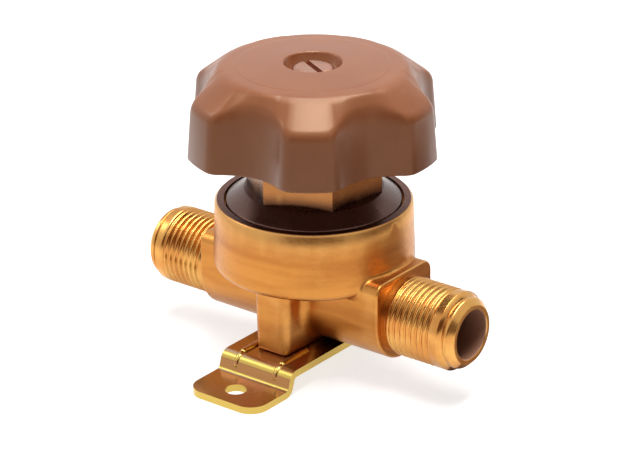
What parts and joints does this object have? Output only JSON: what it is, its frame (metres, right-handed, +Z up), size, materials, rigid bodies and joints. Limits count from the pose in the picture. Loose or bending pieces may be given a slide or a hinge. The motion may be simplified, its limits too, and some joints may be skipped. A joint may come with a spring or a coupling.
{
  "type": "refrigerant service valve",
  "caption": "Brass diaphragm hand shut-off valve with two male flare ends, a lobed plastic handwheel and a steel foot bracket.",
  "frame": {"origin": "on the mounting surface, under the spindle axis, at the middle of the foot bracket", "axes": "+X along the flow towards the inlet end, +Y along the foot bracket, +Z up the spindle"},
  "size_m": [0.1068, 0.0848, 0.0867],
  "materials": {
    "forged_brass": "hot stamped brass, satin, threads and seats machined bright",
    "bonnet_brass": "turned brass, dark toned",
    "turned_brass": "turned brass",
    "stainless": "stainless steel, bright",
    "yellow_zinc": "steel strip, yellow chromated zinc",
    "fastener_zinc": "zinc plated steel",
    "wheel_plastic": "moulded plastic, tan brown, satin",
    "seat_nylon": "nylon",
    "seal_rubber": "black rubber"
  },
  "bodies": {
    "body": {"valve_body": "forged_brass", "bonnet": "bonnet_brass", "clamp_ring": "turned_brass", "lower_diaphragm": "stainless", "middle_diaphragm": "stainless", "upper_diaphragm": "stainless", "spindle_o_ring": "seal_rubber", "gland_ring": "bonnet_brass", "spring_seat": "stainless", "return_spring": "stainless", "bracket": "yellow_zinc", "bracket_screws": "fastener_zinc", "bracket_lock_washers": "fastener_zinc"},
    "thrust_train": {"thrust_ball": "stainless", "thrust_pad": "turned_brass", "plunger": "turned_brass", "seat_disc": "seat_nylon"},
    "wheel_and_spindle": {"spindle": "turned_brass", "handwheel": "wheel_plastic", "wheel_screw": "fastener_zinc", "wheel_washer": "fastener_zinc"}
  },
  "joints": [
    {"name": "valve_travel", "type": "slide", "parent": "body", "child": "thrust_train", "axis": [0, 0, 1], "range_m": [-0.003, 0], "deforming": ["return_spring", "lower_diaphragm", "middle_diaphragm", "upper_diaphragm"]},
    {"name": "handwheel_turn", "type": "hinge", "parent": "thrust_train", "child": "wheel_and_spindle", "pos_m": [0, 0, 0.062], "axis": [0, 0, 1], "range_deg": [-720, 0]}
  ],
  "couplings": [
    {"joint": "valve_travel", "follows": "handwheel_turn", "m_per_rad": 0.00023873}
  ]
}
